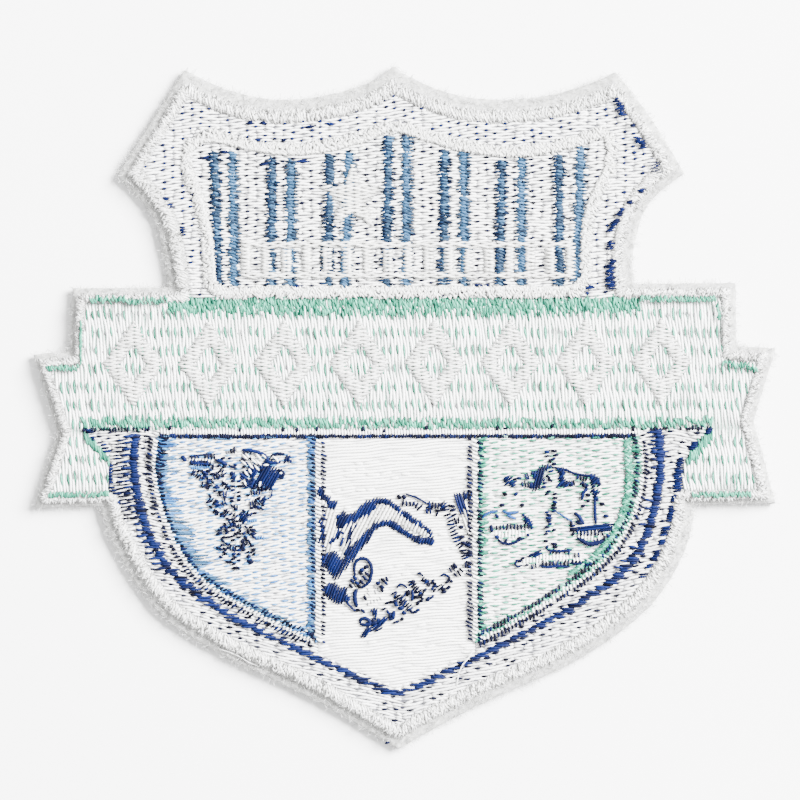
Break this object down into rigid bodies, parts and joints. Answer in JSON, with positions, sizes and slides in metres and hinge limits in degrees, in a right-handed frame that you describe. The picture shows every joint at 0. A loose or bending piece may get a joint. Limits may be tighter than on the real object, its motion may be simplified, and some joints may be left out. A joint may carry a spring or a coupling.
{
  "type": "embroidered shield patch",
  "caption": "Flat embroidered shield patch with a ribbon across it, lying face down with its stitched back and raised edge up.",
  "frame": {"origin": "centre of the bounding box at the underside, which is the face that the patch lies on", "axes": "+X along the ribbon to the right as seen from the back, +Y towards the crest's peak, +Z out of the back"},
  "size_m": [0.1, 0.0922, 0.0021],
  "materials": {
    "thread_white": "white bobbin thread, satin",
    "thread_navy": "navy thread, satin",
    "thread_dark_blue": "dark blue thread, satin",
    "thread_mid_blue": "middle blue thread, satin",
    "thread_mint": "mint thread, satin",
    "thread_ribbon": "white bobbin thread with mint needle marks",
    "cloth": "matt woven cloth"
  },
  "bodies": {
    "root": {"edge_border": "thread_white", "base_cloth": "cloth", "crest_field": "thread_white", "column_panel": "thread_white", "panel_border": "thread_white", "stripe_dark_1": "thread_dark_blue", "stripe_dark_2": "thread_dark_blue", "stripe_dark_3": "thread_dark_blue", "stripe_dark_4": "thread_dark_blue", "stripe_dark_5": "thread_dark_blue", "stripe_dark_6": "thread_dark_blue", "stripe_dark_7": "thread_dark_blue", "stripe_mid_1": "thread_mid_blue", "stripe_mid_2": "thread_mid_blue", "stripe_mid_3": "thread_mid_blue", "stripe_mid_4": "thread_mid_blue", "stripe_mid_5": "thread_mid_blue", "stripe_mid_6": "thread_mid_blue", "stripe_mid_7": "thread_mid_blue", "plinth_band": "thread_white", "star": "thread_white", "ribbon": "thread_ribbon", "tail_left": "thread_ribbon", "tail_right": "thread_ribbon", "fold_left": "thread_navy", "fold_right": "thread_navy", "ribbon_top_edge": "thread_mint", "ribbon_bottom_edge": "thread_mint", "ribbon_lozenge_1": "thread_white", "ribbon_lozenge_2": "thread_white", "ribbon_lozenge_3": "thread_white", "ribbon_lozenge_4": "thread_white", "ribbon_lozenge_5": "thread_white", "ribbon_lozenge_6": "thread_white", "ribbon_lozenge_7": "thread_white", "ribbon_lozenge_8": "thread_white", "shield_band": "thread_white", "navy_line": "thread_navy", "inset_left": "thread_white", "inset_right": "thread_white", "divider_left": "thread_white", "divider_right": "thread_white", "panel_top_line": "thread_navy", "panel_left": "thread_white", "panel_centre": "thread_white", "panel_right": "thread_white", "caduceus": "thread_navy", "handshake": "thread_navy", "scales": "thread_navy", "front_crest": "thread_navy", "front_columns": "thread_white", "front_ribbon": "thread_mint", "front_shield": "thread_navy", "front_left": "thread_mid_blue", "front_centre": "thread_white", "front_right": "thread_mint"}
  },
  "joints": []
}
